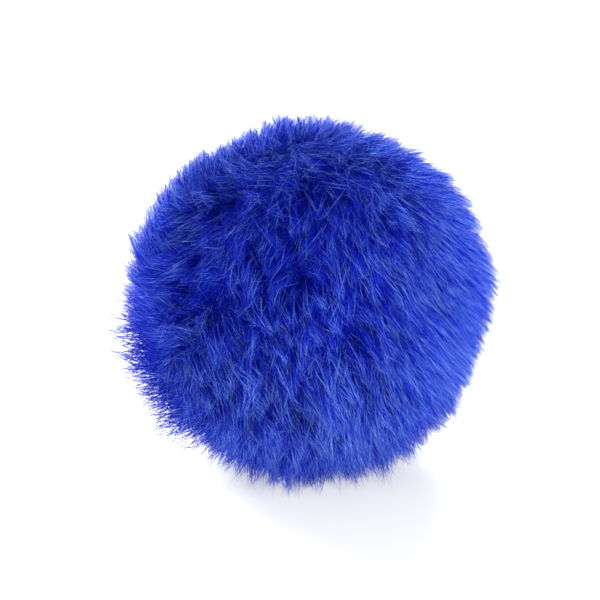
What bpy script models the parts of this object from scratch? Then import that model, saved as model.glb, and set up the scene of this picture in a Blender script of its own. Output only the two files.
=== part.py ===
"""A round pompom of long-pile fur fabric, standing on a flat surface.

A disc of fur fabric is gathered round its edge and drawn up into a ball. Its pile stands out of
the ball in locks, which lean away from a crown high on the front, as brushed fur does, and hang
straighter on the lower left. Each lock grows out of the fabric at its root and stands free from
there to its tip. The lowest locks are shorter, and their blunt tips stand level on the surface.

Lengths are in metres, and +Z is up. The origin is the middle of the spot that it rests on.
"""

import math
from collections import namedtuple

import bmesh
import bpy
from mathutils import Quaternion, Vector

# Driving dimensions.
ACROSS = 0.082  # over the tips of the pile
FABRIC_RADIUS = 0.0215  # of the gathered ball of fabric
SEAT_RADIUS = 0.015  # of the flat spot on which the lowest tips stand
LOCKS_ACROSS = 7  # along each side of the six-sided layout of the roots, an odd number

# What follows from them.
REACH = ACROSS / 2
CENTRE_HEIGHT = math.sqrt(REACH**2 - SEAT_RADIUS**2)
ROOT_SPACING = FABRIC_RADIUS * math.pi / 2 / LOCKS_ACROSS

# The layout of the roots.
STEPS_BELOW = (1, 2)  # the cell that is turned to straight below, in cells from a side's middle
SPIN = math.radians(20)  # of the layout about the upright axis
ROOT_GAP = 0.05 * ROOT_SPACING  # from a lock's root to the edge of its cell
SCATTER = 0.16 * ROOT_SPACING  # how far a corner of a cell strays, along each axis

# How the pile leans and varies.
CROWN_ELEVATION = 57  # degrees above the horizon, in front
LEAN = 0.50  # radians that a tip leans where it leans most, dying away to nothing below
LEAN_CURVE = 1.5  # how much of the lean comes towards the tip
SHORTER = 0.05  # how far a lock's length strays below and above the usual, as a share
TIP_STRAY = 0.20  # how far a tip strays from its root's middle, as a share of half the root
LUMP_HEIGHT = 0.0010  # of the broad, uneven swells of the whole ball
LUMP_WAVES = Vector((5.1, 4.3, 4.7))  # radians of swell across one radius
LUMP_STARTS = Vector((1.3, 0.6, 2.1))

# A lock's sections above its root: the share of its height, and of the width of its root.
Section = namedtuple("Section", "rise width")
SECTIONS = (
    Section(rise=0.44, width=0.97),
    Section(rise=0.80, width=0.68),
    Section(rise=1.00, width=0.12),
)
STANDING_TIP = 0.30  # the width of the tip of a lock that stands on the surface, in the same way

# Where a brush or the pile's weight pulls the locks another way. azimuth runs to the right of the
# front and elevation above the horizon, both in degrees, as does spread, the patch's radius.
# heading is the way of the pull, from straight down towards the right, and pull is in radians.
Combing = namedtuple("Combing", "azimuth elevation spread heading pull")
COMBINGS = (
    Combing(azimuth=-30, elevation=-15, spread=42, heading=80, pull=0.22),
    Combing(azimuth=60, elevation=38, spread=30, heading=-20, pull=0.12),
    Combing(azimuth=-88, elevation=-4, spread=30, heading=140, pull=0.24),
)

# Where the pile stands higher, or parts into a hollow.
Tuft = namedtuple("Tuft", "azimuth elevation spread lift")
TUFTS = (
    Tuft(azimuth=92, elevation=14, spread=20, lift=0.0008),
    Tuft(azimuth=82, elevation=-23, spread=14, lift=-0.0024),
    Tuft(azimuth=-120, elevation=57, spread=16, lift=-0.0008),
    Tuft(azimuth=-47, elevation=46, spread=10, lift=-0.0030),
    Tuft(azimuth=-56, elevation=26, spread=9, lift=-0.0024),
    Tuft(azimuth=-33, elevation=13, spread=9, lift=-0.0030),
    Tuft(azimuth=-39, elevation=2, spread=9, lift=-0.0020),
    Tuft(azimuth=-12, elevation=31, spread=14, lift=0.0010),
)

FUR_BLUE = (0.03, 0.06, 0.50, 1.0)  # linear RGB
FUR_ROUGHNESS = 0.85

DOWN = Vector((0, 0, -1))


def direction_at(azimuth, elevation):
    """The unit vector at an azimuth right of the front and an elevation, both in degrees."""
    a, e = math.radians(azimuth), math.radians(elevation)
    return Vector((math.sin(a) * math.cos(e), -math.cos(a) * math.cos(e), math.sin(e)))


def scattered(point, kind):
    """From -1 to 1: it looks random from one direction to the next, and from kind to kind."""
    return math.sin(97 * point.x + 61 * point.y + 83 * point.z + 2.3 * kind)


def nearness(direction, patch):
    """1 at a patch's middle, falling off smoothly round it."""
    angle = direction.angle(direction_at(patch.azimuth, patch.elevation))
    return math.exp(-((angle / math.radians(patch.spread)) ** 2))


def is_below(direction):
    """1 straight below the ball, falling off smoothly round there."""
    return math.exp(-((direction.angle(DOWN) / 0.35) ** 2))


def along_surface(vector, direction):
    """The part of a vector that runs along the ball's surface at a direction."""
    return vector - direction * vector.dot(direction)


def swell_at(direction):
    """How far the pile stands above or below the even ball at a direction."""
    waves = [math.sin(LUMP_WAVES[i] * direction[i] + LUMP_STARTS[i]) for i in range(3)]
    swell = LUMP_HEIGHT * waves[0] * waves[1] * waves[2]
    return swell + sum(tuft.lift * nearness(direction, tuft) for tuft in TUFTS)


def lean_at(direction):
    """Which way and how far the tips lean at a direction, as a vector along the surface."""
    crown = direction_at(0, CROWN_ELEVATION)
    lean = -LEAN * (0.75 + 0.75 * crown.dot(direction)) * along_surface(crown, direction)
    for combing in COMBINGS:
        middle = direction_at(combing.azimuth, combing.elevation)
        down = along_surface(DOWN, middle).normalized()
        right = middle.cross(DOWN).normalized()
        turn = math.radians(combing.heading)
        way = math.cos(turn) * down + math.sin(turn) * right
        lean += combing.pull * nearness(direction, combing) * along_surface(way, direction)
    return lean * (1 - is_below(direction))


def combed(direction, radius):
    """The point that pile grown straight out to a direction and radius is combed over to.

    All the pile at one radius turns by one smooth field, so that locks never cross.
    """
    height = max(0, (radius - FABRIC_RADIUS) / (REACH - FABRIC_RADIUS))
    pull = lean_at(direction) * height**LEAN_CURVE
    angle = pull.length
    if angle < 1e-9:
        return direction * radius
    return (direction * math.cos(angle) + pull / angle * math.sin(angle)) * radius


def on_fabric(vertices):
    """Moves vertices straight in or out on to the ball of fabric."""
    for vertex in vertices:
        vertex.co = vertex.co.normalized() * FABRIC_RADIUS


def lay_out_roots(mesh):
    """A ball of square cells, one for each lock, from a cube drawn out on to the sphere.

    It is turned until one cell is straight below, and that cell's lock stands on the origin.
    """
    bmesh.ops.create_cube(mesh, size=2)
    bmesh.ops.subdivide_edges(mesh, edges=mesh.edges[:], cuts=LOCKS_ACROSS - 1, use_grid_fill=True)
    steps = [math.tan(step * math.pi / 2 / LOCKS_ACROSS) for step in STEPS_BELOW]
    below = Vector((*steps, -1)).normalized()
    turn = Quaternion(DOWN, SPIN) @ below.rotation_difference(DOWN)
    for vertex in mesh.verts:
        even = turn @ Vector([math.tan(c * math.pi / 4) for c in vertex.co]).normalized()
        stray = Vector([scattered(even, kind) for kind in range(3)])
        vertex.co = even * FABRIC_RADIUS + (1 - is_below(even)) * SCATTER * stray
    on_fabric(mesh.verts)


def grow_lock(mesh, cell):
    """Draws a lock out of its cell, section by section.

    A lock too long for its place is shortened until its tip is level with the surface below. The
    search for that length settles in a few rounds, since a shorter lock leans less.
    """
    directions = [vertex.co.normalized() for vertex in cell.verts]
    middle = sum(directions, Vector()).normalized()
    corners = [direction - middle for direction in directions]
    stray = sum((scattered(middle + corner, 3) * corner for corner in corners), Vector())
    stray *= TIP_STRAY / 2 * (1 - is_below(middle))
    usual = REACH + swell_at(combed(middle, REACH).normalized()) - FABRIC_RADIUS
    length = usual * (1 - SHORTER + SHORTER * scattered(middle, 4) * (1 - is_below(middle)))
    reach = FABRIC_RADIUS + length
    for _ in range(6):
        lowness = -combed((middle + stray).normalized(), reach).z / reach
        reach = FABRIC_RADIUS + length
        if lowness > 0:
            reach = min(reach, CENTRE_HEIGHT / lowness)
    stands = reach < FABRIC_RADIUS + length - 0.0003
    for section in SECTIONS:
        cell = bmesh.ops.extrude_discrete_faces(mesh, faces=[cell])["faces"][0]
        radius = FABRIC_RADIUS + (reach - FABRIC_RADIUS) * section.rise
        width = STANDING_TIP if stands and section.rise == 1 else section.width
        for vertex, corner in zip(cell.verts, corners):
            straight = middle + corner * width + stray * section.rise**2
            vertex.co = combed(straight.normalized(), radius)
            vertex.co.z = max(vertex.co.z, -CENTRE_HEIGHT)
    if stands:
        for vertex in cell.verts:
            vertex.co.z = -CENTRE_HEIGHT


def fur_material():
    material = bpy.data.materials.new("fur")
    material.use_nodes = True
    surface = material.node_tree.nodes["Principled BSDF"]
    surface.inputs["Base Color"].default_value = FUR_BLUE
    surface.inputs["Roughness"].default_value = FUR_ROUGHNESS
    surface.inputs["Metallic"].default_value = 0.0
    surface.inputs["Sheen Weight"].default_value = 0.5
    material.diffuse_color = FUR_BLUE
    return material


def fur_ball():
    """The gathered ball of fabric with its locks, as one object."""
    mesh = bmesh.new()
    lay_out_roots(mesh)
    cells = mesh.faces[:]
    bmesh.ops.inset_individual(mesh, faces=cells, thickness=ROOT_GAP)
    on_fabric(mesh.verts)
    for cell in cells:
        grow_lock(mesh, cell)
    bmesh.ops.recalc_face_normals(mesh, faces=mesh.faces[:])
    data = bpy.data.meshes.new("fur_ball")
    mesh.to_mesh(data)
    mesh.free()
    data.shade_smooth()
    data.materials.append(fur_material())
    ball = bpy.data.objects.new("fur_ball", data)
    ball.location.z = CENTRE_HEIGHT
    return ball


def main():
    for old in list(bpy.data.objects):
        bpy.data.objects.remove(old)
    pompom = bpy.data.collections.new("pompom")
    bpy.context.scene.collection.children.link(pompom)
    pompom.objects.link(fur_ball())


main()
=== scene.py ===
import math
from collections import namedtuple

import bmesh
import bpy
import numpy as np
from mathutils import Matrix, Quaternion, Vector


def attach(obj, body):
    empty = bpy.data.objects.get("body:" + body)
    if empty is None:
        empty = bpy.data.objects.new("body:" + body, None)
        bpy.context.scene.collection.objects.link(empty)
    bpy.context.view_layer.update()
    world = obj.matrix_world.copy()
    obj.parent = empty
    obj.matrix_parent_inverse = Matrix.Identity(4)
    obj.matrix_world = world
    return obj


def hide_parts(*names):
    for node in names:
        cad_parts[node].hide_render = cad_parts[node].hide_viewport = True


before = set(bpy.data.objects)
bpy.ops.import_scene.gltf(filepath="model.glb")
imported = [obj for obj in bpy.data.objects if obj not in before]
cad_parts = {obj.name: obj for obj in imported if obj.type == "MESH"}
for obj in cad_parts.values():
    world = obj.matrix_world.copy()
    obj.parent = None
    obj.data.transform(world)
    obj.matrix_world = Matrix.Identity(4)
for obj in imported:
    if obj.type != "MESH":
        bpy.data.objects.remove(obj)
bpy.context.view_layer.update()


# ---------------------------------------------------------------------------------------------
# The underfur. A disc of fur fabric is gathered round its edge over a ball of filling and drawn
# shut. Close to the fabric the pile is so dense that it reads as one soft surface, which swells
# into a broad lock over each patch of roots and parts between them.

across_tips = 0.082
fabric_radius = 0.0215  # of the gathered ball of fabric
seat_radius = 0.015  # of the flat place that it rests on
reach = across_tips / 2
centre_height = math.sqrt(reach**2 - seat_radius**2)
clear_of_floor = 0.0002  # from the lowest fibres to what the ball stands on
down = np.array((0.0, 0.0, -1.0))
below_spread = 0.35  # radians round straight below, where the pile is even

locks_across = 7  # along each side of the six-sided layout of the roots
steps_below = (1, 2)  # the cell that is turned to straight below, from a side's middle
layout_spin = math.radians(20)
corner_scatter = 0.16 * math.pi / 2 / locks_across  # how far a cell's corner strays along an axis
length_scatter = 0.05  # how far a lock's length strays either way, as a share

crown_elevation = 57  # degrees above level, in front
lean = 0.50  # radians
lean_at_side = 0.75  # of the lean, a quarter turn from the crown
lean_curve = 1.5  # how much of the lean comes towards the tip
lean_stops = 1.2  # where the lean stops growing, as a share of the pile's height

swell_height = 0.0010
swell_waves = np.array((5.1, 4.3, 4.7))  # radians of swell across one radius, along each axis
swell_starts = np.array((1.3, 0.6, 2.1))

faces_a_lock = 6  # along each side of its patch of the underfur
valley_height = 0.46  # between locks, as a share of the usual pile's height
dome_height = 0.58  # in the middle of a lock, as a share of the lock's own height

# Here and below, azimuth runs to the right of the front, elevation rises from level, and heading
# turns from straight down towards the right.

# Where the pile is brushed another way: azimuth, elevation, spread and heading in degrees, and
# the pull in radians.
combings = (
    (-30, -15, 42, 80, 0.22),
    (60, 38, 30, -20, 0.12),
    (-88, -4, 30, 140, 0.24),
)

# Where it stands higher or parts: azimuth, elevation and spread in degrees, and the lift.
swells = (
    (92, 14, 20, 0.0008),
    (82, -23, 14, -0.0024),
    (-120, 57, 16, -0.0008),
    (-47, 46, 10, -0.0030),
    (-56, 26, 9, -0.0024),
    (-33, 13, 9, -0.0030),
    (-39, 2, 9, -0.0020),
    (-12, 31, 14, 0.0010),
)


def unit(vectors):
    """Each vector over its own length."""
    return vectors / np.linalg.norm(vectors, axis=-1, keepdims=True)


def dot(a, b):
    """The sum of the products of the coordinates, kept as a last axis of one."""
    return np.sum(a * b, axis=-1, keepdims=True)


def direction_at(azimuth, elevation):
    """(sin a cos e, -cos a cos e, sin e), from angles in degrees."""
    a, e = math.radians(azimuth), math.radians(elevation)
    return np.array((math.sin(a) * math.cos(e), -math.cos(a) * math.cos(e), math.sin(e)))


crown = direction_at(0, crown_elevation)


def scattered(point, kind):
    """The sine of large multiples of the coordinates, from -1 to 1, as if random. Each kind has
    its own start."""
    return np.sin(dot(point, np.array((97, 61, 83))) + 2.3 * kind)


def nearness(direction, middle, spread):
    """e to the minus (angle from the middle over the spread) squared."""
    angle = np.arccos(np.clip(dot(direction, middle), -1, 1))
    return np.exp(-((angle / spread) ** 2))


def is_below(direction):
    """1 straight below, falling off round there."""
    return nearness(direction, down, below_spread)


def along_surface(vector, direction):
    """The vector less its part along the direction."""
    return vector - direction * dot(vector, direction)


def way_at(middle, heading):
    """Along the surface at a middle: the cosine of the heading down, plus its sine to the right."""
    lower = unit(along_surface(down, middle))
    right = unit(np.cross(middle, down))
    return math.cos(math.radians(heading)) * lower + math.sin(math.radians(heading)) * right


def changed(value, direction, places):
    """A value plus, for each place in a table, its change times the nearness to its middle."""
    for azimuth, elevation, spread, change in places:
        near = nearness(direction, direction_at(azimuth, elevation), math.radians(spread))
        value = value + change * near
    return value


def swell_at(direction):
    """Three crossed waves multiplied together, plus the table's swells."""
    waves = np.sin(direction * swell_waves + swell_starts)
    return changed(swell_height * np.prod(waves, axis=-1, keepdims=True), direction, swells)


def lean_at(direction):
    """Away from the crown by the lean times the sine of the angle from it, dying away behind, plus
    each combing's pull."""
    share = lean_at_side + lean_at_side * dot(direction, crown)
    turned = -lean * share * along_surface(crown, direction)
    for azimuth, elevation, spread, heading, pull in combings:
        middle = direction_at(azimuth, elevation)
        near = nearness(direction, middle, math.radians(spread))
        turned = turned + pull * near * along_surface(way_at(middle, heading), direction)
    return turned * (1 - is_below(direction))


def swung(direction, pull):
    """The direction turned towards a pull along the surface, by as many radians as it is long:
    the cosine of that angle times the direction, plus its sine along the pull."""
    angle = np.linalg.norm(pull, axis=-1, keepdims=True)
    return direction * np.cos(angle) + pull * np.sinc(angle / math.pi)


def above_floor(points):
    """Drawn in towards the ball's middle until they are no lower than what it stands on."""
    lowest = centre_height - clear_of_floor
    return points * np.minimum(1, lowest / np.maximum(-points[..., 2:], 1e-6))


def combed(direction, radius):
    """The direction turned by its lean times the share of the pile's height to the power of
    lean_curve, as a point at that radius, held above the surface that the ball stands on."""
    height = np.clip((radius - fabric_radius) / (reach - fabric_radius), 0, lean_stops)
    return above_floor(swung(direction, lean_at(direction) * height**lean_curve) * radius)


def layout(steps):
    """Six square grids, each drawn from a side of a cube out on to the unit sphere by the tangent
    of a quarter turn times the coordinate, and turned until one cell is straight below."""
    a, b = np.meshgrid(steps, steps, indexing="ij")
    a, b = np.tan(a * math.pi / 4), np.tan(b * math.pi / 4)
    one = np.ones_like(a)
    sides = np.stack(
        [
            np.stack(side, axis=-1)
            for side in (
                (one, a, b),
                (-one, b, a),
                (b, one, a),
                (a, -one, b),
                (a, b, one),
                (b, a, -one),
            )
        ]
    )
    below = [math.tan(step * math.pi / 2 / locks_across) for step in steps_below]
    upright = Vector((*below, -1)).normalized().rotation_difference(Vector(down))
    turn = Quaternion(Vector(down), layout_spin) @ upright
    return unit(sides) @ np.array(turn.to_matrix()).T


corners = layout(np.linspace(-1, 1, locks_across + 1))
stray = np.concatenate([scattered(corners, kind) for kind in range(3)], axis=-1)
corners = unit(corners + (1 - is_below(corners)) * corner_scatter * stray)
cells = np.stack(
    [corners[:, :-1, :-1], corners[:, 1:, :-1], corners[:, 1:, 1:], corners[:, :-1, 1:]], axis=-2
)


def in_cell(cell, p, q):
    """The point at shares p and q across a cell: the weighted sum of its corners."""
    weights = np.stack([(1 - p) * (1 - q), p * (1 - q), p * q, (1 - p) * q], axis=-1)
    return np.sum(weights[..., None] * cell, axis=-2)


middles = unit(cells.mean(axis=-2))
usual = reach + swell_at(unit(combed(middles, reach))) - fabric_radius
lock_lengths = usual * (
    1 - length_scatter + length_scatter * scattered(middles, 4) * (1 - is_below(middles))
)


def underfur_surface():
    """Over each cell, from the valley's height up to the lock's by a dome, which is the root of
    16 p (1 - p) q (1 - q) at shares p and q across it. Then combed as the pile is."""
    count = faces_a_lock * locks_across + 1
    whole = np.minimum(np.arange(count) // faces_a_lock, locks_across - 1)
    part = (np.arange(count) - whole * faces_a_lock) / faces_a_lock
    i, j = np.meshgrid(whole, whole, indexing="ij")
    p, q = np.meshgrid(part, part, indexing="ij")
    direction = unit(in_cell(cells[:, i, j], p, q))
    dome = np.sqrt(np.clip(16 * p * (1 - p) * q * (1 - q), 0, 1))[..., None]
    valley = valley_height * (reach - fabric_radius)
    height = valley + dome * (dome_height * lock_lengths[:, i, j] - valley)
    return combed(direction, fabric_radius + height) + (0, 0, centre_height)


def placed(name, data):
    """A new object in the scene, at the origin."""
    made = bpy.data.objects.new(name, data)
    bpy.context.scene.collection.objects.link(made)
    return made


def grid_mesh(name, points):
    """A mesh of square faces over a stack of grids of points, closed along their shared edges."""
    stack, rows, columns, _ = points.shape
    index = np.arange(stack * rows * columns).reshape(stack, rows, columns)
    faces = np.stack(
        [index[:, :-1, :-1], index[:, 1:, :-1], index[:, 1:, 1:], index[:, :-1, 1:]], axis=-1
    )
    mesh = bpy.data.meshes.new(name)
    mesh.from_pydata(points.reshape(-1, 3).tolist(), [], faces.reshape(-1, 4).tolist())
    edit = bmesh.new()
    edit.from_mesh(mesh)
    bmesh.ops.remove_doubles(edit, verts=edit.verts[:], dist=1e-6)
    edit.to_mesh(mesh)
    edit.free()
    mesh.shade_smooth()
    return placed(name, mesh)


class Socket:
    """A shader socket whose sums, differences and products add their Math nodes."""

    def __init__(self, finish, socket):
        self.finish, self.socket = finish, socket

    def _with(self, operation, other, swapped=False):
        pair = (other, self) if swapped else (self, other)
        return self.finish.node("ShaderNodeMath", {"operation": operation}, *pair)

    def __add__(self, other):
        return self._with("ADD", other)

    __radd__ = __add__

    def __sub__(self, other):
        return self._with("SUBTRACT", other)

    def __rsub__(self, other):
        return self._with("SUBTRACT", other, swapped=True)

    def __mul__(self, other):
        return self._with("MULTIPLY", other)

    __rmul__ = __mul__


class Finish:
    """A material with a Principled shader, whose constant sockets are set first."""

    def __init__(self, name, constants):
        self.material = bpy.data.materials.new(name)
        self.material.use_nodes = True
        self.tree = self.material.node_tree
        self.shader = self.tree.nodes["Principled BSDF"]
        for socket, value in constants.items():
            self.shader.inputs[socket].default_value = value

    def node(self, kind, settings, *values, output=0, **named):
        """A node of a kind: its settings are set, then its sockets' values or links."""
        made = self.tree.nodes.new(kind)
        for key, value in settings.items():
            if key == "stops":
                ramp = made.color_ramp
                while len(ramp.elements) < len(value):
                    ramp.elements.new(0.5)
                for element, (position, color) in zip(ramp.elements, value):
                    element.position, element.color = position, (*color, 1)
            else:
                setattr(made, key, value)
        for key, value in [*enumerate(values), *named.items()]:
            socket = made.inputs[key]
            if isinstance(value, Socket):
                self.tree.links.new(value.socket, socket)
            else:
                socket.default_value = value
        return Socket(self, made.outputs[output])

    def feed(self, socket, value):
        """Links a value to one of the shader's sockets."""
        self.tree.links.new(value.socket, self.shader.inputs[socket])


# The underfur is coloured a deep, dark blue as painted shade for the gaps where it shows.
painted_shade_deep_blue = (0.001, 0.003, 0.12)  # linear red, green and blue
painted_shade_root_blue = (0.003, 0.008, 0.24)
matt = Finish("underfur", {"Roughness": 0.9, "Specular IOR Level": 0.02})
place = matt.node("ShaderNodeTexCoord", {}, output="Object")
grain = matt.node("ShaderNodeTexNoise", {}, Vector=place, Scale=900.0, Detail=3.0)
blue = matt.node("ShaderNodeValToRGB", {"stops": ((0.3, painted_shade_deep_blue), (0.7, painted_shade_root_blue))}, grain)
matt.feed("Base Color", blue)
bump = matt.node("ShaderNodeBump", {}, Strength=0.6, Distance=0.0004, Height=grain)
matt.feed("Normal", bump)

underfur = grid_mesh("underfur", underfur_surface())
underfur.data.materials.append(matt.material)
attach(underfur, "root")
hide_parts("fur_ball")


# ---------------------------------------------------------------------------------------------
# The pile. Fine, soft fibres of royal-blue acrylic stand in each lock, knitted fast at their
# roots. Wear has drawn them into tufts and finer wisps, which lie over away from the crown.

pile_count = 140000
pile_pieces = 5
pile_thickness = 0.000125
thinning = 0.5  # of a strand's thickness, lost by its tip
tuft_count = 1400
wisp_count = 14000
group_scatter = 1.1  # of tufts and of wisps, as a share of their spacing
strand_scatter = 2.0

start_rise = 0.42  # where a strand comes out of the underfur, as a share of its height
draw_curve = 1.3  # how much of the drawing into tufts comes towards the tip
curl_turn = 5  # radians of curl from root to tip
settle = 0.0006  # how far the tips sink within their locks, everywhere but low down
settle_from = -0.45  # the height where that begins, in radii from the ball's middle
settle_over = 0.6  # the height through which it grows

stroke_spread = 14  # degrees round the middle of each stroke
lock_weight = 0.06  # of the locks' own lean, beside a weight of one for each stroke
lock_slant = 0.5  # as a share of that lean
group_slant = 0.06  # radians that a tuft or a wisp strays from the strokes
muddle_spread = 0.35  # radians round the crown, where strands lie every way
tuft_length = 0.07  # how far a tuft's length strays, as a share
wisp_length = 0.02
longest = 0.6  # the most that a strand stands out past its lock, as a share

smooth_side = direction_at(65, 2)  # where it was brushed smooth
smooth_spread = 0.75  # radians
smoothness = 0.7
trailing_side = direction_at(-76, -23)  # where it has worked loose and hangs
trailing_spread = 0.4  # radians

usual_tone = 0.50  # from 0, the darkest, to 1, the lightest
painted_shading_by_height = 30  # painted light and shade, for each metre that the tips stand out
group_tone = 0.04  # how far the tone strays from tuft to tuft, and from wisp to wisp
strand_tone = 0.26
bright_and_highlight_share = 0.10  # of the strands are brighter, partly as painted highlights
bright_and_highlight_gain = 0.40
painted_shade_middle = direction_at(0, 32)  # painted shade: where the strands are darker
painted_shade_spread = 0.6  # radians
shade = 0.14
tone_margin = 0.02  # from the tone of any strand to 0 or 1

# How the strands lie where their tips are: azimuth and elevation of the place and heading of the
# strands in degrees, and their slant in radians.
strokes = (
    (-125, 79, -60, 0.08),
    (-87, 59, 175, 0.34),
    (-92, 40, 180, 0.36),
    (-86, 19, 180, 0.32),
    (-79, -1, 180, 0.20),
    (-71, -23, 180, 0.18),
    (-59, -40, -140, 0.15),
    (-34, -55, -50, 0.11),
    (141, 80, 5, 0.09),
    (107, 67, 20, 0.30),
    (96, 51, -15, 0.32),
    (90, 33, -20, 0.35),
    (84, 15, -20, 0.34),
    (78, -4, -20, 0.30),
    (60, -19, 35, 0.26),
    (49, -44, 50, 0.26),
    (22, -60, 15, 0.18),
    (-61, 39, 50, 0.40),
    (-46, 30, 19, 0.16),
    (-55, 1, -168, 0.10),
    (-51, 54, 33, 0.39),
    (-48, 64, -14, 0.14),
    (15, 78, 18, 0.50),
    (56, 67, -40, 0.50),
    (-31, 28, 23, 0.28),
    (-24, 37, 6, 0.31),
    (-14, 33, 7, 0.32),
    (6, 34, -6, 0.34),
    (16, 38, -8, 0.49),
    (-10, 51, 8, 0.49),
    (23, 56, -20, 0.50),
    (-33, -1, 79, 0.34),
    (-37, -19, 94, 0.33),
    (-19, -2, 68, 0.23),
    (-21, -26, 84, 0.14),
    (-3, -1, 34, 0.15),
    (-3, -27, 102, 0.08),
    (8, -23, -60, 0.04),
    (54, 53, -55, 0.50),
    (61, 36, -51, 0.50),
    (34, 28, -18, 0.40),
    (52, 15, -34, 0.33),
    (23, 14, 10, 0.29),
    (37, -1, 9, 0.20),
    (20, -12, 3, 0.20),
    (27, -34, 27, 0.13),
    (44, -21, 20, 0.13),
)

# Where the strands stand out past their locks or sink below: azimuth, elevation and spread of the
# place in degrees, and how far out. The tips' tone follows, as painted light and shade.
fluffs = (
    (-76, -25, 22, -0.0060),
    (14, -58, 7, -0.0040),
    (52, -40, 9, -0.0012),
    (88, 4, 6, 0.0020),
    (80, -14, 5, -0.0020),
    (8, -18, 6, 0.0024),
    (11, -31, 6, 0.0024),
    (20, -15, 5, -0.0030),
    (-30, 7, 4, -0.0035),
    (-18, 4, 4, -0.0035),
    (-24, 0, 4, 0.0015),
    (36, -11, 10, 0.0012),
    (40, -35, 9, 0.0012),
    (59, 10, 12, 0.0008),
    (120, 62, 20, -0.0008),
    (-95, 22, 10, 0.0015),
    (-46, 43, 6, -0.0078),
    (-50, 26, 6, -0.0050),
    (-34, 13, 8, -0.0060),
    (-46, 12, 5, -0.0025),
    (-42, -3, 5, -0.0045),
    (-3, 21, 6, -0.0080),
    (4, 51, 9, -0.0060),
    (16, 2, 8, -0.0060),
    (-10, -12, 4, -0.0030),
    (-9, -4, 4, -0.0030),
    (2, -5, 4, -0.0030),
    (12, 2, 5, -0.0035),
    (16, 14, 4, -0.0025),
    (19, 34, 5, -0.0030),
    (35, 34, 5, -0.0025),
    (64, 15, 6, -0.0020),
    (29, -17, 5, -0.0025),
)

# How strongly the tone is mixed from strand to strand: usually, and where that changes: the
# middle of the place, its spread in radians, and the change.
usual_mixture = 1.1
mixtures = (
    (direction_at(-72, 4), 0.4, -0.5),
    (direction_at(-40, 40), 0.5, -0.4),
    (direction_at(10, -35), 0.5, 0.3),
)


def even_directions(count, kind, scatter):
    """Directions evenly spread over the ball, on a spiral of equal steps in height, each a golden
    turn on from the last, and then scattered by a share of their spacing."""
    step = np.arange(count) + 0.5
    height = 1 - 2 * step / count
    turn = step * math.pi * (3 - math.sqrt(5))
    flat = np.sqrt(1 - height**2)
    even = np.stack([flat * np.cos(turn), flat * np.sin(turn), height], axis=-1)
    stray = np.concatenate([scattered(even, kind + axis) for axis in range(3)], axis=-1)
    return unit(even + stray * scatter / math.sqrt(count))


def nearest(directions, centres):
    """Which of the centres each direction is closest to: the one with the greatest cosine. They
    are worked out in blocks, so that the table of cosines stays small."""
    blocks = np.array_split(directions.astype(np.float32), 24)
    return np.concatenate([(block @ centres.T.astype(np.float32)).argmax(1) for block in blocks])


tuft_middles = even_directions(tuft_count, kind=20, scatter=group_scatter)
wisp_middles = even_directions(wisp_count, kind=30, scatter=group_scatter)


def slant_at(direction):
    """The mean of the strokes' slants, each weighed by its nearness, and faintly of the locks'."""
    total, weight = lock_weight * lock_slant * lean_at(direction), lock_weight
    for azimuth, elevation, heading, pull in strokes:
        middle = direction_at(azimuth, elevation)
        near = nearness(direction, middle, math.radians(stroke_spread))
        total = total + pull * near * along_surface(way_at(middle, heading), direction)
        weight = weight + near
    return total / weight * (1 - is_below(direction))


def fluffed(direction):
    """How far the tips stand past the locks': sunk a little everywhere but low down, plus the
    table's fluffs."""
    raised = np.clip((direction[..., 2:] - settle_from) / settle_over, 0, 1)
    return changed(-settle * raised, direction, fluffs)


def tufted(direction):
    """How strongly the pile is drawn into tufts: one, less where it was brushed smooth."""
    return 1 - smoothness * nearness(direction, smooth_side, smooth_spread)


def chosen(seed, spread, count, group):
    """A random vector for each of a count of groups, given to each strand of the group."""
    return np.random.default_rng(seed).normal(0, spread, (count, 1, 3))[group]


def slants(tips, tuft, wisp, wander, chance):
    """The strokes' slant at each tip, plus its tuft's, its wisp's and the strand's own straying,
    which are less where the pile is smooth and more at the crown."""
    together = tufted(tips)
    muddle = nearness(tips, crown, muddle_spread)
    slant = slant_at(tips)
    slant = slant + chosen(1, group_slant, tuft_count, tuft) * together * (1 + muddle)
    slant = slant + chosen(2, group_slant, wisp_count, wisp) * (together + muddle)
    slant = slant + chance.normal(0, wander, (len(tips), 1, 3)) * (together + muddle)
    return along_surface(slant, tips)


def lengths(tips, tuft, wisp, growth, chance):
    """Each strand's length as a share of its lock's: one, plus its tuft's straying, held between
    -2 and 1 times the usual, and its wisp's, less shorter times a random number to the power 1.5,
    plus longer times a random number squared, which is more on the trailing side."""
    each = (len(tips), 1, 1)
    trailing = 1 + growth.trail * nearness(tips, trailing_side, trailing_spread)
    return (
        1
        + tuft_length * tufted(tips) * np.clip(chosen(3, 1, tuft_count, tuft)[..., :1], -2, 1)
        + wisp_length * chosen(4, 1, wisp_count, wisp)[..., :1]
        - growth.shorter * chance.random(each) ** 1.5
        + np.minimum(growth.longer * trailing * chance.random(each) ** 2, longest)
    )


def mixture_at(direction):
    """The usual mixture plus, for each place, its change times the nearness to its middle."""
    mixture = usual_mixture
    for middle, spread, change in mixtures:
        mixture = mixture + change * nearness(direction, middle, spread)
    return mixture


def tones(tips, tuft, wisp, chance):
    """The usual tone, with painted light where the tips stand out and painted shade where they sink
    and round the front's middle, plus each tuft's, wisp's and strand's own straying, with a bright
    strand here and there, partly as a painted highlight."""
    each = (len(tips), 1, 1)
    tone = usual_tone + painted_shading_by_height * (fluffed(tips) + settle)
    tone = tone + chosen(5, group_tone, tuft_count, tuft)[..., :1]
    tone = tone + chosen(6, group_tone, wisp_count, wisp)[..., :1]
    # Painted shade round the middle of the front.
    tone = tone - shade * nearness(tips, painted_shade_middle, painted_shade_spread)
    own = chance.normal(0, strand_tone, each)
    bright = bright_and_highlight_gain * (chance.random(each) < bright_and_highlight_share)
    tone = tone + mixture_at(tips) * (own + bright)
    return np.clip(tone, tone_margin, 1 - tone_margin)[:, 0, 0]


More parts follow.
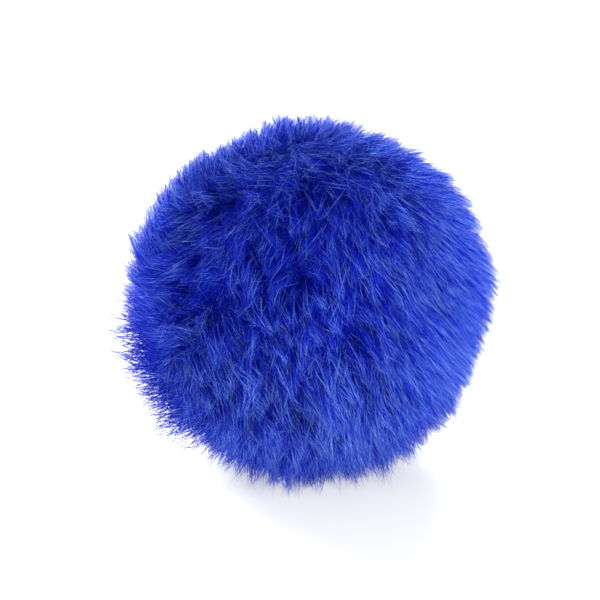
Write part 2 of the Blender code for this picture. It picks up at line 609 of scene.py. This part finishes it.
def strands(tips, growth, seed):
    """Paths of strands from start_rise to their tips, and their tones. A strand is drawn towards
    the middle of its wisp by the share of the way to its tip, and towards its tuft's by that share
    to the power of draw_curve. From its tip it runs back by its slant times one less its height
    squared, and each coordinate then strays by a sine that grows towards the tip."""
    chance = np.random.default_rng(seed)
    tuft, wisp = nearest(tips, tuft_middles), nearest(tips, wisp_middles)
    to_tuft = tuft_middles[tuft][:, None]
    to_wisp = wisp_middles[wisp][:, None]
    tips = tips[:, None]
    slant = slants(tips, tuft, wisp, growth.wander, chance)
    length = lengths(tips, tuft, wisp, growth, chance)
    grown = np.linspace(0, 1, growth.places)[:, None]
    rise = start_rise + (1 - start_rise) * grown
    way = tips + growth.draw_wisp * grown * (to_wisp - tips)
    way = way + growth.draw_tuft * tufted(tips) * grown**draw_curve * (to_tuft - way)
    tip_radius = reach + swell_at(tips) + fluffed(tips)
    radius = fabric_radius + (tip_radius - fabric_radius) * length * rise
    path = swung(unit(way), -slant * (1 - rise**2)) * radius
    start = chance.random((len(tips), 1, 3)) * 2 * math.pi
    path = above_floor(path + growth.curl * grown * np.sin(start + curl_turn * grown))
    return path + (0, 0, centre_height), tones(tips, tuft, wisp, chance)


map_name = "OFBake"
map_margin = 0.02
strip_width = 0.006  # of a strand's place on the map


def strand_piece(name, paths, thickness, tone, seed):
    """Each path as a closed three-sided spindle, from a point at its root to a point at its tip.
    A ring's radius is half the thickness times one less the thinning times its share of the way
    squared. On its map a strand is a narrow upright strip: across is its tone, and up is the way
    to its tip."""
    chance = np.random.default_rng(seed)
    count, places, _ = paths.shape
    ahead = unit(np.gradient(paths, axis=1))
    side = unit(np.cross(ahead, unit(chance.normal(0, 1, (count, 1, 3)))))
    other = np.cross(ahead, side)
    along = np.linspace(0, 1, places)
    radius = thickness / 2 * (1 - thinning * along[1:-1] ** 2) * np.ones((count, 1))
    angle = np.arange(3) * 2 * math.pi / 3
    rings = (
        paths[:, 1:-1, None]
        + radius[..., None, None] * np.cos(angle)[:, None] * side[:, 1:-1, None]
        + radius[..., None, None] * np.sin(angle)[:, None] * other[:, 1:-1, None]
    )
    points = np.concatenate([paths[:, :1], rings.reshape(count, -1, 3), paths[:, -1:]], axis=1)

    last = 3 * (places - 2) + 1
    faces = [(0, 1 + (k + 1) % 3, 1 + k) for k in range(3)]
    for low in range(1, last - 3, 3):
        faces += [(low + k, low + (k + 1) % 3, low + 3 + (k + 1) % 3, low + 3 + k) for k in range(3)]
    faces += [(last - 3 + k, last - 3 + (k + 1) % 3, last) for k in range(3)]
    loops = np.concatenate(faces)
    sizes = np.array([len(face) for face in faces])
    starts = np.concatenate([[0], np.cumsum(sizes)[:-1]])
    each = np.arange(count)[:, None]
    mesh = bpy.data.meshes.new(name)
    mesh.vertices.add(count * (last + 1))
    mesh.vertices.foreach_set("co", points.astype(np.float32).ravel())
    mesh.loops.add(count * len(loops))
    mesh.loops.foreach_set("vertex_index", (loops + each * (last + 1)).astype(np.int32).ravel())
    mesh.polygons.add(count * len(faces))
    mesh.polygons.foreach_set("loop_start", (starts + each * len(loops)).astype(np.int32).ravel())
    mesh.update(calc_edges=True)
    mesh.shade_smooth()

    half = strip_width / 2
    across = np.concatenate([[0], np.tile((-half, 0, half), places - 2), [0]])[loops]
    up = np.concatenate([along[:1], np.repeat(along[1:-1], 3), along[-1:]])[loops]
    inside = 1 - 2 * map_margin
    across = tone[:, None] * inside + map_margin + across
    up = up * inside + map_margin
    uv = np.stack(np.broadcast_arrays(across, up), axis=-1)
    mesh.uv_layers.new(name=map_name).data.foreach_set("uv", uv.astype(np.float32).ravel())
    mesh.validate()
    return placed(name, mesh)


glint_repeats = (150, 6, 0)  # painted glints and painted shade, in patches across the map, and up it
glint_strength = 0.9
half_shade = (0.38, 0.39, 0.83)  # painted shade: the share of its colour that shows past halfway to the tip


def fibre_finish(name, dark, usual_blue, light, root_shade):
    """Blue from dark to light across the map, with finer painted glints and shade, and painted
    shade deepening towards the root.
    """
    finish = Finish(name, {"Roughness": 0.4, "Specular IOR Level": 0.03})
    on_map = finish.node("ShaderNodeUVMap", {"uv_map": map_name})
    across = finish.node("ShaderNodeSeparateXYZ", {}, on_map, output="X")
    up = finish.node("ShaderNodeSeparateXYZ", {}, on_map, output="Y")
    patches = finish.node("ShaderNodeVectorMath", {"operation": "MULTIPLY"}, on_map, glint_repeats)
    glints = finish.node(
        "ShaderNodeTexNoise", {"noise_dimensions": "2D"}, Vector=patches, Scale=1.0, Detail=1.0
    )
    tint = finish.node(
        "ShaderNodeValToRGB",
        {"stops": ((0.0, dark), (0.6, usual_blue), (1.0, light))},
        across + (glints - 0.5) * glint_strength,
    )
    # Painted shade, darkest at the root and gone by the tip.
    painted_shade_along = finish.node(
        "ShaderNodeValToRGB",
        {"stops": ((0.0, root_shade), (0.6, half_shade), (1.0, (1, 1, 1)))},
        up,
    )
    shaded = finish.node("ShaderNodeVectorMath", {"operation": "MULTIPLY"}, tint, painted_shade_along)
    finish.feed("Base Color", shaded)
    return finish.material


Growth = namedtuple("Growth", "places draw_tuft draw_wisp curl wander shorter longer trail")

pile_growth = Growth(
    places=3,  # along each strand
    draw_tuft=0.5,  # how far a tip is drawn to its tuft's middle, as a share of the way
    draw_wisp=0.10,
    curl=0.0004,
    wander=0.08,  # radians that a strand's slant strays from its wisp's
    shorter=0.3,  # the most that it falls short, as a share of its length
    longer=0.03,  # the most that it stands out
    trail=8,  # how many times more it stands out on the trailing side
)
paths, tone = strands(
    even_directions(pile_count, kind=40, scatter=strand_scatter), pile_growth, seed=1
)
pile_finish = fibre_finish(
    "pile",
    dark=(0.002, 0.007, 0.45),
    usual_blue=(0.0058, 0.0275, 0.555),
    light=(0.310, 0.570, 0.98),
    root_shade=(0.1, 0.1, 0.45),
)
for number in range(pile_pieces):
    part = np.arange(pile_count) * pile_pieces // pile_count == number
    pile = strand_piece(
        f"pile_{number + 1}", paths[part], pile_thickness, tone[part], seed=10 + number
    )
    pile.data.materials.append(pile_finish)
    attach(pile, "root")


# ---------------------------------------------------------------------------------------------
# The stray fibres. Here and there a fibre of the same acrylic, a little longer than the rest, has
# worked loose from its tuft and wanders across the pile. On the trailing side they hang in a loose
# fringe, still knitted fast at their roots.

stray_spots = 60000
stray_share = 0.13  # of the spots that have a stray fibre
trailing_share = 0.68  # how much more of them have one on the trailing side
stray_thickness = 0.00016

stray_growth = Growth(
    places=4,
    draw_tuft=0.7,
    draw_wisp=0.2,
    curl=0.0010,
    wander=0.08,
    shorter=0.05,
    longer=0.16,
    trail=6.5,
)
spots = even_directions(stray_spots, kind=60, scatter=strand_scatter)
share = stray_share + trailing_share * nearness(spots, trailing_side, trailing_spread)[:, 0]
loose = spots[np.random.default_rng(3).random(stray_spots) < share]
paths, tone = strands(loose, stray_growth, seed=2)
stray_finish = fibre_finish(
    "stray fibres",
    dark=(0.003, 0.012, 0.48),
    usual_blue=(0.018, 0.055, 0.56),
    light=(0.220, 0.390, 0.88),
    root_shade=(0.2, 0.2, 0.5),
)
strays = strand_piece("stray_fibres", paths, stray_thickness, tone, seed=20)
strays.data.materials.append(stray_finish)
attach(strays, "root")


# ---------------------------------------------------------------------------------------------
# The place that it stands in: a floor of matt white paper that glows a little, a dim white
# surround, and five square lights round the ball, low in front and high behind. The camera looks
# a little down on it.

floor_reach = 3
floor_corners = floor_reach * np.array(((-1, -1, 0), (1, -1, 0), (1, 1, 0), (-1, 1, 0)))
floor_mesh = bpy.data.meshes.new("floor")
floor_mesh.from_pydata(floor_corners.tolist(), [], [(0, 1, 2, 3)])
floor = placed("floor", floor_mesh)
paper = Finish(
    "paper",
    {
        "Base Color": (0.9, 0.9, 0.8, 1),
        "Roughness": 0.9,
        "Emission Color": (1, 1, 1, 1),
        "Emission Strength": 0.45,
    },
)
floor.data.materials.append(paper.material)

world = bpy.data.worlds.new("surround")
world.use_nodes = True
surround = world.node_tree.nodes["Background"]
surround.inputs["Color"].default_value = (1, 1, 1, 1)
surround.inputs["Strength"].default_value = 0.3
bpy.context.scene.world = world

ball_middle = Vector((0, 0, centre_height))

# Each light's name, place, size and power. All look at the middle of the ball.
lights = (
    ("key", (0.8, -0.4, 0.12), 0.5, 10.0),
    ("bounce", (0.3, -0.8, 0.04), 0.4, 6.3),
    ("fill", (-0.75, -0.4, 0.05), 0.4, 7.2),
    ("rim", (-0.5, 0.5, 0.45), 0.4, 10.5),
    ("back", (0.1, 0.7, 0.6), 0.4, 10.5),
)
for name, place, size, power in lights:
    light = bpy.data.lights.new(name, "AREA")
    light.shape, light.size, light.energy = "SQUARE", size, power
    lamp = placed(name, light)
    lamp.location = place
    lamp.rotation_euler = (ball_middle - Vector(place)).to_track_quat("-Z", "Y").to_euler()

view_drop = math.radians(18)
view_distance = 0.52
pixels_across = 600
pixel = 0.000215  # metres, at the ball's distance
view_shift = -10 * pixel
sensor_width = 36  # millimetres
toward = Vector((0, math.cos(view_drop), -math.sin(view_drop)))
camera = bpy.data.cameras.new("camera")
camera.sensor_width = sensor_width
camera.lens = sensor_width * view_distance / (pixels_across * pixel)
camera.clip_start, camera.clip_end = 0.01, 20
viewer = placed("camera", camera)
viewer.location = ball_middle - toward * view_distance + Vector((view_shift, 0, 0))
viewer.rotation_euler = toward.to_track_quat("-Z", "Y").to_euler()
bpy.context.scene.camera = viewer
bpy.context.scene.view_settings.view_transform = "Standard"
